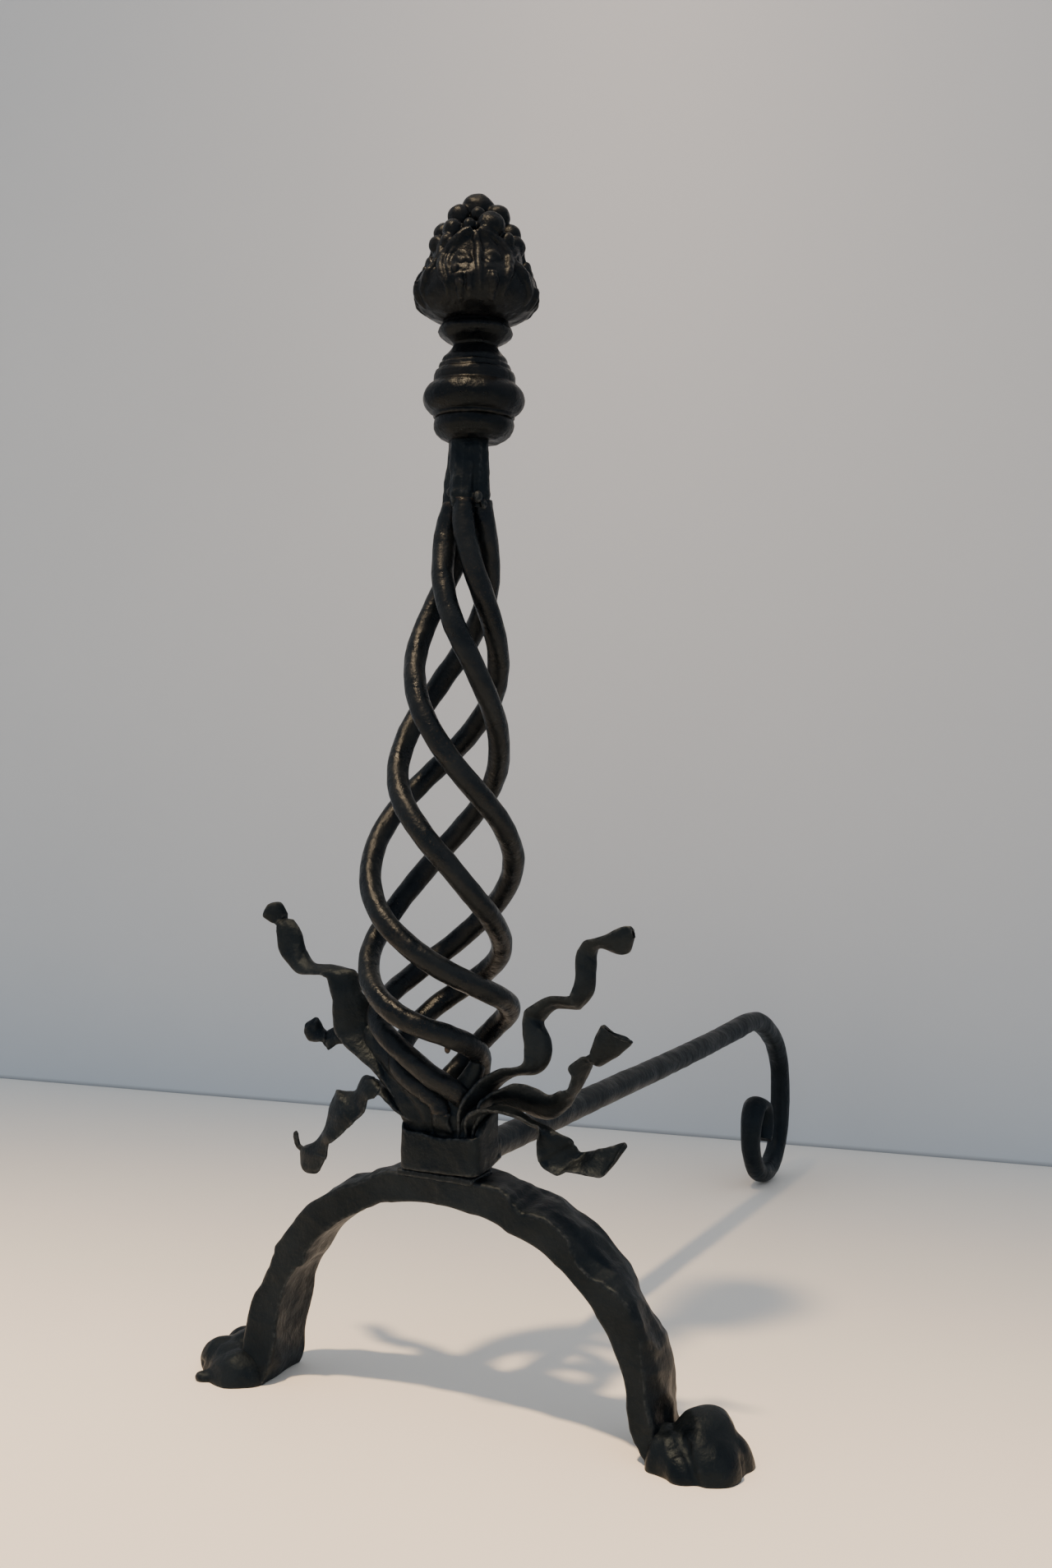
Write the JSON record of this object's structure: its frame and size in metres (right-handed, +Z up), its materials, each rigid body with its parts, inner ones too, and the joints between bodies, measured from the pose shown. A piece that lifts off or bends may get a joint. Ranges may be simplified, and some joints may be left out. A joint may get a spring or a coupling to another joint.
{
  "type": "andiron",
  "caption": "Forged iron andiron: arched front legs with paw feet, twisted open-cage stem, curled flame leaves, cast bud finial and a round log bar ending in a scroll foot.",
  "frame": {"origin": "on the floor under the middle of the whole andiron, halfway between the front of the basket and the back of the rear leg", "axes": "+Z up, +X to the right as seen from the room, -Y towards the room, +Y into the fireplace along the log bar"},
  "size_m": [0.299, 0.5716, 0.582],
  "materials": {
    "wrought_iron": "dark waxed forge scale, slightly uneven",
    "bronzed_casting": "dark brown patina, rubbed on the high points",
    "steel": "plain threaded rod"
  },
  "bodies": {
    "root": {"arch_bar": "wrought_iron", "paw_left": "wrought_iron", "paw_right": "wrought_iron", "saddle_plate": "wrought_iron", "saddle_collar": "wrought_iron", "stem_root": "wrought_iron", "rear_bar": "wrought_iron", "basket_rod_1": "wrought_iron", "basket_rod_2": "wrought_iron", "basket_rod_3": "wrought_iron", "basket_rod_4": "wrought_iron", "neck_shaft": "wrought_iron", "lower_collar": "bronzed_casting", "knop": "bronzed_casting", "spool_ring": "bronzed_casting", "finial_stud": "steel", "finial": "bronzed_casting", "leaf_left_upper": "wrought_iron", "leaf_left_middle": "wrought_iron", "leaf_left_lower": "wrought_iron", "leaf_right_upper": "wrought_iron", "leaf_right_middle": "wrought_iron", "leaf_right_lower": "wrought_iron"}
  },
  "joints": []
}
